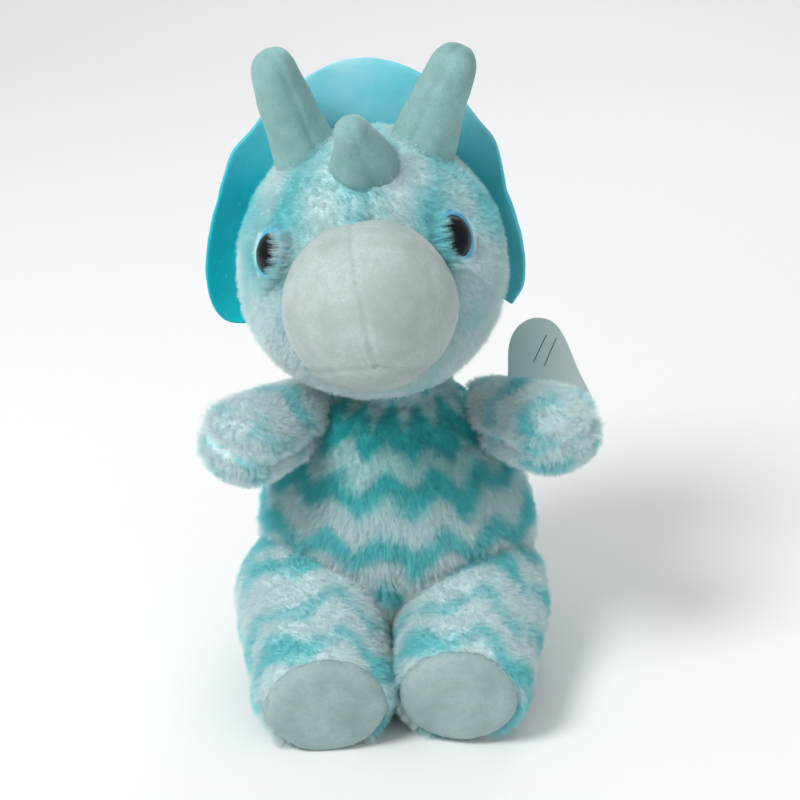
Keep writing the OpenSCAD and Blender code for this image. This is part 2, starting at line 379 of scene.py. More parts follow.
# Painted shade deep in the pile: at the strands' roots and in the hollows between tufts
FUR_PILE_SHADE = (0.10, 0.40, 0.43, 1)
EYE_BLACK = (0.004, 0.004, 0.005, 1)
EYE_BLACK_SHINE = (0.010, 0.012, 0.016, 1)
RIM_PALE = rgb(110, 225, 250)
RIM_BLUE = rgb(20, 150, 220)
NYLON_HAZE = (0.85, 0.88, 0.9, 1)
NYLON_CLEAR = (0.95, 0.96, 0.97, 1)
# Painted shade on the card's left and painted light on its right
CARD_SHADED = rgb(174, 197, 195)
CARD_LIT = rgb(214, 227, 226)
CARD_FIBRE = rgb(190, 209, 207)
CARD_RULE = rgb(60, 84, 86)
SATIN = rgb(236, 238, 238)
SATIN_SHINE = rgb(247, 248, 248)
STUDIO_PAPER = (0.93, 0.93, 0.93, 1)
STUDIO_AIR = (0.95, 0.98, 1.0, 1)


def chevrons(tree, matrix, turns, pitch_mm, rise_mm, share, blur, patchy, bold=1.0, fade=None):
    """How aqua the fur is at a point: zigzag bands round local Z, softened and broken up.

    turns is how many zigzags go round. share is the level where white turns to aqua, and blur is how
    softly. patchy breaks the bands up and bold is their strength. fade is two heights in mm and how
    much the aqua weakens from the upper one down to the lower.
    """
    location, rotation, _ = (TO_FRAME @ matrix).decompose()
    local = tree.add("Mapping", {"Vector": tree.place()}, vector_type="TEXTURE")
    local.inputs["Location"].default_value = location
    local.inputs["Rotation"].default_value = rotation.to_euler()
    place = local.outputs["Vector"]
    wobble = tree.noise(place, 70.0, 1.5)
    axes = tree.axes(place)
    angle = tree.math("ARCTAN2", axes[0], tree.times(axes[1], -1.0))
    around = tree.times(angle, turns / math.pi)
    around = tree.math("ADD", around, tree.times(wobble, 0.9))
    zigzag = tree.math("PINGPONG", around, 1.0)
    height = tree.math("MULTIPLY_ADD", zigzag, 2 * rise_mm * MM, axes[2])
    height = tree.math("MULTIPLY_ADD", wobble, 0.009, height)
    bands = tree.math("SINE", tree.times(height, 2 * math.pi / (pitch_mm * MM)))
    bands = tree.times(bands, bold)
    blotch = tree.noise(place, 38.0, 2.0)
    fuzz = tree.noise(place, 420.0, 2.0)
    level = tree.math("MULTIPLY_ADD", tree.math("SUBTRACT", blotch, 0.5), 2.6 * patchy, bands)
    level = tree.math("MULTIPLY_ADD", tree.math("SUBTRACT", fuzz, 0.5), 0.9, level)
    if fade is not None:
        low, high, amount = fade
        upright = tree.axes(tree.place())[2]
        fading = tree.less(tree.ramp(upright, low * MM, high * MM))
        level = tree.math("MULTIPLY_ADD", fading, -amount, level)
    return tree.ramp(level, share - blur, share + blur)


def fur_colour(tree, matrix, painted_shade_z=None, **pattern):
    """White and aqua pile. The optional heights, two in mm, are where painted shade grows upwards: a deeper
    aqua and a greyer white, as in the shade under the head.
    """
    aqua = AQUA_FUR
    white = WHITE_FUR
    if painted_shade_z is not None:
        # Painted shade: above these heights the chest, in the shade under the head, gets a deeper aqua and a
        # greyer white
        height = tree.axes(tree.place())[2]
        shaded = tree.ramp(height, painted_shade_z[0] * MM, painted_shade_z[1] * MM)
        aqua = tree.mix(shaded, SOFT_AQUA_FUR, SHADED_AQUA_FUR)
        white = tree.mix(shaded, WHITE_FUR, SHADED_WHITE_FUR)
    return tree.mix(chevrons(tree, matrix, **pattern), white, aqua)


def fur_shell(name, matrix, **pattern):
    """The backing under the hair, for the mesh by itself as well."""
    tree = Tree(name)
    colour = fur_colour(tree, matrix, **pattern)
    strands = tree.noise(tree.place(), 900.0, 3.0, 0.7)
    tufts = tree.noise(tree.place(), 260.0, 2.0)
    # Painted shade: the backing is darker where the tufts sink
    shade = tree.math("MULTIPLY_ADD", tufts, 0.5, 0.62)
    colour = tree.mix(tree.less(shade), colour, FUR_PILE_SHADE)
    normal = tree.bump(tufts, 0.6, 1.2, tree.bump(strands, 0.5, 0.4))
    return tree.finish(colour, 0.95, normal, Sheen_Weight=0.4, Sheen_Roughness=0.5)


def fur_hair(name, matrix, **pattern):
    """The strands: painted shade towards the root, silky and pale at the tip."""
    tree = Tree(name)
    colour = fur_colour(tree, matrix, **pattern)
    along = tree.add("HairInfo").outputs["Intercept"]
    # Painted shade towards each strand's root
    root = tree.less(tree.ramp(along, 0.0, 0.75))
    colour = tree.mix(tree.times(root, 0.22), colour, FUR_PILE_SHADE)
    return tree.finish(colour, 0.55, None, Sheen_Weight=0.08, Specular_IOR_Level=0.2)


def velour(name, colour, shadow, nap_mm=2.2, shade_below_z=None):
    """Short smooth pile, brushed lighter and darker in patches, with optional painted shade on its underside
    between two heights in mm.
    """
    tree = Tree(name)
    place = tree.place()
    patches = tree.noise(place, 55.0, 3.0, 0.6)
    pile = tree.noise(place, 1000.0 / nap_mm * 0.7, 3.0, 0.65)
    grain = tree.noise(place, 2600.0, 2.0, 0.7)
    tone = tree.mix(tree.ramp(patches, 0.35, 0.75), colour, shadow)
    tone = tree.mix(tree.times(tree.ramp(pile, 0.45, 0.75), 0.35), tone, shadow)
    fleck = tree.noise(place, 950.0, 3.0, 0.8)
    tone = tree.mix(tree.times(tree.ramp(fleck, 0.42, 0.66), 0.5), tone, shadow)
    if shade_below_z is not None:
        # Painted shade: darker towards the bottom, under the snout
        height = tree.axes(place)[2]
        low = tree.less(tree.ramp(height, shade_below_z[0] * MM, shade_below_z[1] * MM))
        tone = tree.mix(tree.times(low, 0.3), tone, VELOUR_UNDER_SHADOW)
    normal = tree.bump(pile, 0.35, 0.5, tree.bump(grain, 0.6, 0.2))
    return tree.finish(tone, 0.9, normal, Sheen_Weight=0.25, Sheen_Roughness=0.35, Specular_IOR_Level=0.2)


# Painted light: the frill's top is paler between these heights in mm
FELT_LIT_TOP_Z = (165, 222)
# Where the felt turns paler towards +X, in mm
FELT_PALER_X = (15, 60)


def felt_material(name):
    """Cloudy felt with lint on it, with painted light making it paler towards its top, and paler towards +X.
    """
    tree = Tree(name)
    place = tree.place()
    cloudy = tree.noise(place, 45.0, 3.0)
    fibres = tree.noise(place, 1500.0, 4.0, 0.75)
    lint = tree.ramp(tree.noise(place, 520.0, 2.0), 0.66, 0.74)
    height = tree.axes(place)[2]
    # Painted light: the frill's top is lit paler
    lit_top = tree.ramp(height, FELT_LIT_TOP_Z[0] * MM, FELT_LIT_TOP_Z[1] * MM)
    tone = tree.mix(lit_top, FELT, FELT_TOP)
    tone = tree.mix(tree.times(tree.ramp(cloudy, 0.3, 0.8), 0.6), tone, FELT_CLOUD)
    # Paler towards +X
    paler_x = tree.ramp(tree.axes(place)[0], FELT_PALER_X[0] * MM, FELT_PALER_X[1] * MM)
    tone = tree.mix(tree.times(paler_x, 0.40), tone, FELT_TOP)
    tone = tree.mix(tree.times(lint, 0.3), tone, FELT_LINT)
    normal = tree.bump(fibres, 0.55, 0.35)
    return tree.finish(tone, 0.95, normal, Specular_IOR_Level=0.03)


def eye_black_material():
    tree = Tree("button_black")
    depth = tree.noise(tree.place(), 300.0, 2.0)
    colour = tree.mix(depth, EYE_BLACK, EYE_BLACK_SHINE)
    return tree.finish(colour, 0.2, None, Specular_IOR_Level=0.12)


def glitter_material():
    """Blue plastic with fine flakes that each catch the light at their own angle."""
    tree = Tree("ring_glitter")
    flakes = tree.add("TexVoronoi", {"Vector": tree.place(), "Scale": 2600.0})
    tint = tree.mix(flakes.outputs["Distance"], RIM_PALE, RIM_BLUE)
    normal = tree.bump(flakes.outputs["Distance"], 0.8, 0.2)
    return tree.finish(tint, 0.3, normal, Metallic=0.15)


def nylon_material():
    tree = Tree("clear_nylon")
    haze = tree.noise(tree.place(), 400.0, 2.0)
    colour = tree.mix(haze, NYLON_HAZE, NYLON_CLEAR)
    return tree.finish(colour, 0.3, None, Transmission_Weight=0.3)


# Where the card turns from painted shade to painted light, in mm
TAG_LIT_X = (40, 66)
TAG_LINE_HALF_WIDTH = 0.2
TAG_LINES = [((54.4, 112.5), (50.0, 101.8)), ((58.1, 111.3), (54.0, 100.3))]


def card_material():
    """Coated card with two thin ruled lines and no lettering, darker on its left with painted shade and
    paler on its right with painted light.
    """
    tree = Tree("tag_card")
    place = tree.place()
    fibre = tree.noise(place, 700.0, 3.0)
    axes = tree.axes(place)
    # Painted light and shade: darker on the left, nearer the body, paler on the right
    lit_side = tree.ramp(axes[0], TAG_LIT_X[0] * MM, TAG_LIT_X[1] * MM)
    colour = tree.mix(lit_side, CARD_SHADED, CARD_LIT)
    colour = tree.mix(tree.times(fibre, 0.25), colour, CARD_FIBRE)
    for top, foot in TAG_LINES:
        slope = (top[0] - foot[0]) / (top[1] - foot[1])
        drawn = tree.math("MULTIPLY_ADD", axes[2], -slope, axes[0])
        away = tree.math("ABSOLUTE", tree.math("SUBTRACT", drawn, (foot[0] - slope * foot[1]) * MM))
        line = tree.math("LESS_THAN", away, TAG_LINE_HALF_WIDTH * MM)
        middle, half = (top[1] + foot[1]) / 2 * MM, (top[1] - foot[1]) / 2 * MM
        tall = tree.math("LESS_THAN", tree.math("ABSOLUTE", tree.math("SUBTRACT", axes[2], middle)), half)
        colour = tree.mix(tree.times(line, tall), colour, CARD_RULE)
    return tree.finish(colour, 0.4, tree.bump(fibre, 0.15, 0.05), Specular_IOR_Level=0.3)


def satin_material():
    tree = Tree("satin_label")
    inputs = {"Vector": tree.place(), "Scale": 1500.0}
    weave = tree.add("TexWave", inputs, bands_direction="Z").outputs["Fac"]
    colour = tree.mix(weave, SATIN, SATIN_SHINE)
    return tree.finish(colour, 0.4, tree.bump(weave, 0.2, 0.05), Sheen_Weight=0.3)


# ---------------------------------------------------------------- fur


def inside_ball(points, centre, radius):
    return np.linalg.norm(points - np.array(centre), axis=1) < radius


def stub_gap(points, start, r_start, end, r_end):
    """How far each point is outside a round-ended tapered stub, in mm: negative inside it."""
    a, b = np.array(start, float), np.array(end, float)
    d = b - a
    t = np.clip((points - a) @ d / (d @ d), 0, 1)
    near = a + t[:, None] * d
    return np.linalg.norm(points - near, axis=1) - (r_start + (r_end - r_start) * t)


def inside_stub(points, start, r_start, end, r_end):
    return stub_gap(points, start, r_start, end, r_end) < 0


STRANDS_PER_TUFT = 12


def grow_fur(obj, hair, bare, strands, length_mm, comb, seed=0, name="fur", wild=0.2):
    """Hair on the shell everywhere but where bare is true. The exported mesh has none."""
    obj.data.materials.append(hair)
    group = obj.vertex_groups.new(name=name)
    for i in np.nonzero(~bare)[0]:
        group.add([int(i)], 1.0, "REPLACE")
    obj.modifiers.new(name, "PARTICLE_SYSTEM")
    system = obj.particle_systems[-1]
    system.seed = SEED + seed
    system.vertex_group_density = name
    s = system.settings
    s.type = "HAIR"
    s.use_advanced_hair = True
    s.count = strands // STRANDS_PER_TUFT
    s.hair_step = 4
    s.render_step = 2
    s.display_step = 2
    s.emit_from = "FACE"
    s.use_modifier_stack = False
    s.hair_length = length_mm * MM
    speed = s.normal_factor
    s.object_align_factor = tuple(c * speed for c in comb)
    s.factor_random = wild * speed
    s.material = len(obj.data.materials)
    s.root_radius = 1.0
    s.tip_radius = 0.25
    s.radius_scale = 0.06 * MM
    s.child_type = "INTERPOLATED"
    s.child_percent = 0
    s.rendered_child_count = STRANDS_PER_TUFT
    s.clump_factor = 0.18
    s.clump_shape = -0.2
    s.roughness_1 = 0.4 * MM
    s.roughness_1_size = 6 * MM
    s.roughness_2 = 0.5 * MM
    s.roughness_2_size = 3 * MM
    s.roughness_endpoint = 0.3 * MM
    s.child_length = 1.0


# ---------------------------------------------------------------- limbs, in mm about the toy's axis

SHOULDER = {LEFT: Vector((-33, -1, 90.5)), RIGHT: Vector((33.5, -1, 91))}
HAND = {LEFT: Vector((-51, -35, 94.4)), RIGHT: Vector((53, -35, 98.5))}
HIP = {LEFT: Vector((-31, -16, 27)), RIGHT: Vector((28, -16, 27))}
FOOT = {LEFT: Vector((-25, -72, 19.0)), RIGHT: Vector((22, -68, 20.5))}
HIP_R = 24.5
FOOT_R = 21.5
SOLE_HALF = {LEFT: (20.8, 19.0), RIGHT: (20.4, 18.4)}
TAIL = (Vector((0, 36, 17)), Vector((0, 65, 10)))
SIDE_NAME = {LEFT: "left", RIGHT: "right"}
ARM_R = 13
TAIL_R = 9
TAIL_TIP_R = 4
ARM_SEAM_DEG = 17
ARM_SEAM_GAP = 2.3
ARM_PATTERN = dict(turns=5, pitch_mm=24, rise_mm=4, blur=0.5, patchy=1.2, bold=0.4)
ARM_AQUA_SHARE = {LEFT: 0.3, RIGHT: 0.15}
SOLE_TURN_DEG = {LEFT: -7, RIGHT: 5}
LEG_PATTERN = dict(turns=5, pitch_mm=21, rise_mm=5.5, share=0.12, blur=0.5, patchy=1.2, bold=0.45)
TAIL_PATTERN = dict(turns=3, pitch_mm=16, rise_mm=3, share=0.3, blur=0.5, patchy=0.7)

TORSO_ROWS = [
    (0.5, 0), (0.8, 15), (1.5, 29), (5, 38), (12, 43), (22, 46.5), (36, 48.6), (50, 48.4), (60, 46.2),
    (70, 42.2), (79, 37.8), (87, 32.4), (93, 27), (98, 20.5), (101.5, 12.5), (103, 6), (103.4, 0)]
TORSO_AXIS = Matrix.Identity(4)
HEAD_AXIS = Matrix.Translation(HEAD) @ Matrix.Rotation(math.radians(90), 4, "Y")
# The chest gets painted shade, as under the head, from 52 to 86 mm up.
TORSO_PATTERN = dict(
    turns=13, pitch_mm=19, rise_mm=3.6, share=-0.1, blur=0.9, patchy=1.3, painted_shade_z=(52, 86), fade=(36, 64, 0.45))

# Balls inside the torso, and so where the limbs' and the tail's fur stops
CHEST = (0, 0, 84)
CHEST_R = 30
BELLY = (0, 0, 38)
BELLY_R = 38
SEAT = (0, 0, 32)
SEAT_R = 38

BELLY_SEAM_X = 0.5
BELLY_SEAM_TOP = 62
BELLY_SEAM_WIDTH = 2.6
BELLY_SEAM_DEPTH = 3.2


def leg_gap(points, side):
    """How far each point is outside a leg, in mm."""
    return stub_gap(points, HIP[side], HIP_R, FOOT[side], FOOT_R)


def make_torso():
    """The pear-shaped body: four panels, a seat, and a seam down the front that shows at the belly."""
    torso = lathe("torso_shell", TORSO_ROWS, TO_FRAME, tall=0.89)
    remesh(torso, voxel_mm=4.5)
    p = points_of(torso)
    flat = p[:, 2] < 3
    puff(torso, pressure=2.5, most_mm=3.0, pinned=flat)
    refine(torso, levels=2)
    p = points_of(torso)
    front = (p[:, 1] < 0) & (p[:, 2] > 4)
    low = np.clip((BELLY_SEAM_TOP - p[:, 2]) / 20, 0, 1)
    across = p[:, 0] - BELLY_SEAM_X
    belly_seam = BELLY_SEAM_DEPTH * low * front * np.exp(-((across / BELLY_SEAM_WIDTH) ** 2))
    set_points(torso, p - normals_of(torso) * belly_seam[:, None])
    for side in (LEFT, RIGHT):
        p = points_of(torso)
        groove(torso, leg_gap(p, side) - 1.5, depth_mm=2.4, width_mm=2.6)
    p = points_of(torso)
    groove(torso, np.where(p[:, 1] > 0, p[:, 0], FAR), depth_mm=1.2, width_mm=2.0)
    groove(torso, np.where(p[:, 2] > 6, p[:, 1], FAR), depth_mm=0.9, width_mm=2.0)
    rough(torso, size_mm=9.0, depth_mm=0.9, seed=3)
    rough(torso, size_mm=2.6, depth_mm=0.45, seed=5)
    p = points_of(torso)
    p[:, 2] = np.maximum(p[:, 2], 0.3)
    set_points(torso, p)
    paint(torso, fur_shell("torso_fur_backing", TORSO_AXIS, **TORSO_PATTERN))
    p = points_of(torso)
    bare = p[:, 2] < 1.0
    bare |= (p[:, 1] < 0) & (p[:, 2] < 50) & (np.abs(p[:, 0] - BELLY_SEAM_X) < BELLY_SEAM_WIDTH / 2)
    for side in (LEFT, RIGHT):
        bare |= inside_stub(p, SHOULDER[side], ARM_R, HAND[side], ARM_R)
        bare |= leg_gap(p, side) < 0.8
    bare |= inside_ball(p, HEAD, 39) | inside_stub(p, TAIL[0], TAIL_R, TAIL[1], TAIL_TIP_R)
    hair = fur_hair("torso_fur", TORSO_AXIS, **TORSO_PATTERN)
    grow_fur(torso, hair, bare, strands=190000, length_mm=4.2, comb=(0, 0, -0.7))
    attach(torso, "torso")
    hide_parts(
        "torso_front_left", "torso_front_right", "torso_back_left", "torso_back_right",
        "seat_panel", "torso_stuffing", "bead_pouch")


def make_neck():
    """The stuffed ball inside the neck that the head turns on, with pile where the neck can show."""
    rows = round_rows(NECK_R)
    neck = lathe("neck_core", rows, TO_FRAME @ Matrix.Translation(NECK), turns=56)
    refine(neck, levels=1)
    rough(neck, size_mm=6.0, depth_mm=0.5, seed=15)
    paint(neck, fur_shell("neck_fur_backing", TORSO_AXIS, **TORSO_PATTERN))
    hidden = np.abs(points_of(neck)[:, 2] - NECK.z) > 9
    hair = fur_hair("neck_fur", TORSO_AXIS, **TORSO_PATTERN)
    grow_fur(neck, hair, hidden, strands=14000, length_mm=3.6, comb=(0, 0, -0.5), seed=24)
    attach(neck, "neck")
    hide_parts("neck_plug")


def eye_centre(side):
    """Where the eye's seat is, in mm about the toy's axis before the head leans."""
    turn, lift = math.radians(EYE_TURN_DEG[side]), math.radians(EYE_LIFT_DEG[side])
    out = Vector((side * math.sin(turn) * math.cos(lift), -math.cos(turn) * math.cos(lift), math.sin(lift)))
    return HEAD + out * EYE_SEAT


# Where the head swells and sinks, in mm from its centre
CHEEK_X, CHEEK_Y, CHEEK_Z = 27, -24, -14
CHEEK_SPREAD = 17
CHEEK_RISE = 2.6
SOCKET_SPREAD = 10
SOCKET_DEPTH = 1.0
CROWN = (0, -12, 41)
CROWN_SPREAD = 22
CROWN_RISE = 2.8
HEAD_SEAM_WIDTH = 2.0
HEAD_SEAM_DEPTH = 1.2
HEAD_PATTERN = dict(
    turns=6, pitch_mm=22, rise_mm=4.0, share=0.05, blur=0.75, patchy=1.2, bold=0.2, fade=(126, 166, 0.75))

# The pile that hangs over the eye's inner edge: how its line slants, and how far in it starts
BROW_BACK = 0.4
BROW_UP = 0.45
BROW_INSIDE = -4.0


def make_head():
    """The furry head: four panels that meet at the crown, with full cheeks."""
    rows = round_rows(HEAD_R, 18)
    head = lathe("head_shell", rows, HEAD_TO_FRAME @ Matrix.Translation(HEAD), turns=56)
    remesh(head, voxel_mm=4.5)
    puff(head, pressure=1.5, most_mm=1.5)
    refine(head, levels=2)
    q = points_in(head, HEAD_LEAN) - np.array(HEAD)
    cheeks = sum(bell(q, (side * CHEEK_X, CHEEK_Y, CHEEK_Z), CHEEK_SPREAD) for side in (LEFT, RIGHT))
    sockets = sum(bell(q, eye_centre(side) - HEAD, SOCKET_SPREAD) for side in (LEFT, RIGHT))
    move = CHEEK_RISE * cheeks - SOCKET_DEPTH * sockets + CROWN_RISE * bell(q, CROWN, CROWN_SPREAD)
    move -= HEAD_SEAM_DEPTH * np.exp(-((q[:, 0] / HEAD_SEAM_WIDTH) ** 2)) * (q[:, 2] > 5)
    set_points(head, points_of(head) + normals_of(head) * move[:, None])
    rough(head, size_mm=9.0, depth_mm=0.8, seed=11)
    rough(head, size_mm=2.6, depth_mm=0.45, seed=12)
    paint(head, fur_shell("head_fur_backing", HEAD_AXIS, **HEAD_PATTERN))
    p = points_in(head, HEAD_LEAN)
    bare = inside_ball(p, SNOUT, SNOUT_R - 0.5) | inside_ball(p, NECK, 15)
    for side in (LEFT, RIGHT):
        turn = math.radians(EYE_TURN_DEG[side])
        outward = Vector((side * math.cos(turn), math.sin(turn), 0))
        bare |= inside_ball(p, eye_centre(side) + 2.8 * outward, EYE_R - 0.4)
        foot, tip = brow_horn(side)
        bare |= inside_stub(p, foot, BROW_HORN_R, tip, BROW_HORN_TIP_R)
    foot, tip = nose_horn()
    bare |= inside_stub(p, foot, NOSE_HORN_R, tip, NOSE_HORN_TIP_R)
    hair = fur_hair("head_fur", HEAD_AXIS, **HEAD_PATTERN)
    grow_fur(head, hair, bare, strands=170000, length_mm=3.5, comb=(0, 0, -0.4), seed=1)
    for side in (LEFT, RIGHT):
        from_eye = p - np.array(eye_centre(side))
        away = np.linalg.norm(from_eye, axis=1)
        slant = from_eye[:, 0] * side + BROW_BACK * from_eye[:, 1] + BROW_UP * from_eye[:, 2]
        brow = (away < EYE_R + 2.6) & (away > EYE_R - 0.4) & (slant < BROW_INSIDE)
        grow_fur(
            head, hair, ~brow, strands=1440, length_mm=4.4, comb=(0.75 * side, -0.1, 0.1), seed=30 + side,
            name=SIDE_NAME[side] + "_brow_fur")
    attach(head, "head")
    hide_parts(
        "head_front_left", "head_front_right", "head_back_left", "head_back_right",
        "head_stuffing")


def make_eye(side, black, glitter):
    """A shiny black dome in a thin glittering rim, set into the fur."""
    centre = eye_centre(side)
    facing = Matrix.Rotation(math.radians(side * EYE_FACING_DEG), 3, "Z") @ (centre - HEAD)
    axis = HEAD_TO_FRAME @ axis_matrix(centre, centre + facing)
    name = SIDE_NAME[side] + "_eye"
    dome = lathe(name + "_button", EYE_DOME_ROWS, axis, turns=64)
    rim = lathe(name + "_ring", EYE_RIM_ROWS, axis, turns=64)
    parts = ((dome, name + "_dome", black, "eye_black"), (rim, name + "_rim", glitter, "eye_glitter"))
    for piece, node, material, slot in parts:
        paint(piece, material)
        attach(piece, "head")
        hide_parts(node)


def make_eyes():
    black, glitter = eye_black_material(), glitter_material()
    for side in (LEFT, RIGHT):
        make_eye(side, black, glitter)


def snout_seams(snout):
    """How far each point is from the seam down the middle, and how far above the chin's seam."""
    q = points_in(snout, HEAD_LEAN) - np.array(SNOUT)
    tilt = math.radians(SNOUT_SEAM_TILT_DEG)
    middle = q[:, 0] * math.cos(tilt) + q[:, 2] * math.sin(tilt)
    slope = math.radians(CHIN_SLOPE_DEG)
    chin = (q[:, 2] + CHIN_DROP) * math.cos(slope) + q[:, 1] * math.sin(slope)
    return middle, chin


def make_snout():
    """The smooth round snout: two sides that meet in a seam, over a chin panel."""
    rows = round_rows(SNOUT_R - 0.6, 18)
    snout = lathe("snout_shell", rows, HEAD_TO_FRAME @ Matrix.Translation(SNOUT), wide=1.02, turns=56)
    remesh(snout, voxel_mm=3.0)
    middle, chin = snout_seams(snout)
    pinned = (np.abs(chin) < 1.8) | ((np.abs(middle) < 1.6) & (chin > 0))
    puff(snout, pressure=2.2, most_mm=1.4, pinned=pinned)
    refine(snout, levels=2)
    middle, chin = snout_seams(snout)
    above = chin > 0
    groove(snout, np.where(above, middle, FAR), depth_mm=0.6, width_mm=0.8)
    groove(snout, chin, depth_mm=0.55, width_mm=0.9)
    pull = np.exp(-((middle / 7) ** 2)) * above * 0.5
    set_points(snout, points_of(snout) - normals_of(snout) * pull[:, None])
    rough(snout, size_mm=14.0, depth_mm=0.5, seed=21)
    rough(snout, size_mm=3.0, depth_mm=0.08, seed=22)
    paint(snout, velour("snout_velour", VELOUR, VELOUR_SHADE, shade_below_z=(122, 150)))
    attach(snout, "head")
    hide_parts("snout_left", "snout_right", "snout_chin", "snout_stuffing")


BROW_HORN_R = 10.6
BROW_HORN_TIP_R = 6
NOSE_HORN_R = 9.6
NOSE_HORN_TIP_R = 6.5
HORN_FOOT_X = {LEFT: -19.2, RIGHT: 18.0}
HORN_TIP_X = {LEFT: -28.8, RIGHT: 32.0}
BROW_HORN_ROWS = [
    (-9, 13.0), (-3, 12.4), (2, 11.8), (9, 10.9), (18, 9.8), (27, 8.9), (34, 7.9), (38, 6.6), (40.5, 4.2),
    (41.4, 0)]
BROW_HORN_SEAM_DEG = {LEFT: -60, RIGHT: -120}
NOSE_HORN_SEAM_DEG = -75
NOSE_HORN_ROWS = [
    (-4, 12.6), (0, 11.8), (5, 10.3), (10, 8.5), (15, 7.1), (20, 6.2), (23.5, 5.3), (25.8, 3.4), (26.7, 0)]


def brow_horn(side):
    """The foot and the tip of a brow horn."""
    foot = HEAD + Vector((HORN_FOOT_X[side], 1.5, 36.5))
    tip = HEAD + Vector((HORN_TIP_X[side], -5, 71))
    return foot, tip


def nose_horn():
    """The foot and the tip of the nose horn."""
    return HEAD + Vector((0, -20, 39)), HEAD + Vector((-2.5, -33, 53.5))


def make_horn(name, rows, foot, tip, nodes, seam_turn, seed):
    """A stuffed cone with a round tip, one seam up its side and small creases at its foot."""
    axis = axis_matrix(foot, tip, up=(0, 1, 0.2))
    horn = lathe(name, rows, HEAD_TO_FRAME @ axis, turns=40)
    remesh(horn, voxel_mm=2.4)
    q = points_in(horn, HEAD_LEAN @ axis)
    puff(horn, pressure=2.0, most_mm=0.9, pinned=q[:, 2] < 4)
    refine(horn, levels=1)
    q = points_in(horn, HEAD_LEAN @ axis)
    turn = np.arctan2(q[:, 1], q[:, 0]) - math.radians(seam_turn)
    radius = np.hypot(q[:, 0], q[:, 1])
    away = np.where(np.cos(turn) > 0, radius * np.sin(turn), FAR)
    groove(horn, away, depth_mm=0.6, width_mm=0.8)
    crease = 0.3 * np.sin(5 * turn + 1.3) * np.exp(-((q[:, 2] - 7) / 6) ** 2)
    sway = 0.5 * np.sin(q[:, 2] / 7 + seed)
    p = points_of(horn) - normals_of(horn) * (crease + 0.4 * sway * np.cos(turn + 1))[:, None]
    set_points(horn, p)
    rough(horn, size_mm=11.0, depth_mm=0.6, seed=seed)
    paint(horn, velour(name + "_velour", HORN_VELOUR, HORN_SHADE))
    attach(horn, "head")
    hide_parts(*nodes)


def make_horns():
    """The nose horn, and a brow horn on each side."""
    foot, tip = nose_horn()
    nodes = ["nose_horn_cover", "nose_horn_stuffing"]
    make_horn("nose_horn", NOSE_HORN_ROWS, foot, tip, nodes, NOSE_HORN_SEAM_DEG, 31)
    for side in (LEFT, RIGHT):
        label = SIDE_NAME[side] + "_brow_horn"
        foot, tip = brow_horn(side)
        nodes = [label + "_cover", label + "_stuffing"]
        make_horn(label, BROW_HORN_ROWS, foot, tip, nodes, BROW_HORN_SEAM_DEG[side], 40 + side)


# ---------------------------------------------------------------- frill


FRILL_OUTLINE = [
    (-31, 44), (-29.5, 53), (-26, 59), (-18, 61), (-7, 59.5), (8, 57), (22, 56.2), (32, 57.6), (39, 59.4),
    (46, 58.4), (50, 58.6), (56, 60.6), (66, 61.6), (76, 63.6), (84, 64.8), (90, 65.0)]
FRILL_RIGHT_NARROWER = 0.10
FRILL_LOW_DEG, FRILL_HIGH_DEG = -25.5, 210.5
FRILL_INNER_R = 39.5
FRILL_Y = 18
FELT_THICK = 1.45
FELT_EDGE = 0.4
CURL_FORWARD = 7.0
CREST_BACK = 2.5


def frill_radius(angle):
    """The frill's radius in mm at an angle above the level. The right side hangs closer in."""
    folded = angle if angle <= 90 else 180 - angle
    angles = [a for a, _ in FRILL_OUTLINE]
    radii = [r for _, r in FRILL_OUTLINE]
    radius = float(np.interp(folded, angles, radii))
    closer = FRILL_RIGHT_NARROWER * np.clip((50 - angle) / 30, 0, 1) if angle < 50 else 0
    return radius * (1 - closer)


def make_frill_layer(name, node, back_mm, felt):
    """One felt sheet round the head from cheek to cheek, curling a little forwards at its sides."""
    columns, rings = 200, 14
    angles = np.linspace(FRILL_LOW_DEG, FRILL_HIGH_DEG, columns)
    outline = np.array([frill_radius(a) for a in angles])
    kernel = np.exp(-0.5 * (np.arange(-4, 5) / 1.8) ** 2)
    padded = np.pad(outline, 4, mode="edge")
    outline = np.convolve(padded, kernel / kernel.sum(), mode="valid")
    verts, faces = [], []
    for i, degrees in enumerate(angles):
        a = math.radians(degrees)
        for j in range(rings):
            t = j / (rings - 1)
            r = FRILL_INNER_R + (outline[i] - FRILL_INNER_R) * t
            side = abs(math.cos(a)) ** 1.5
            curl = -CURL_FORWARD * side * t**2 + CREST_BACK * math.sin(a) ** 3 * t**2
            wave = 1.1 * t * math.sin(4 * a + 0.6) + 0.5 * t * math.sin(9 * a)
            y = FRILL_Y + back_mm + curl + wave
            verts.append(HEAD_TO_FRAME @ (HEAD + Vector((r * math.cos(a), y, r * math.sin(a)))))
    for i in range(columns - 1):
        for j in range(rings - 1):
            k = i * rings + j
            faces.append((k, k + 1, k + rings + 1, k + rings))
    layer = new_object(name, verts, faces)
    modifier = layer.modifiers.new("thickness", "SOLIDIFY")
    modifier.thickness = FELT_THICK * MM
    modifier.offset = 0
    modifier = layer.modifiers.new("edge", "BEVEL")
    modifier.width = FELT_EDGE * MM
    modifier.segments = 2
    settle(layer)
    rough(layer, size_mm=6.0, depth_mm=0.18, seed=51)
    paint(layer, felt)
    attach(layer, "head")
    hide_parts(node)


def make_frill():
    """Two felt layers, one behind the other."""
    felt = felt_material("frill_cloth")
    make_frill_layer("frill_felt_front", "frill_front", 0.8, felt)
    make_frill_layer("frill_felt_back", "frill_back", 2.4, felt)


# ---------------------------------------------------------------- arms, legs, tail


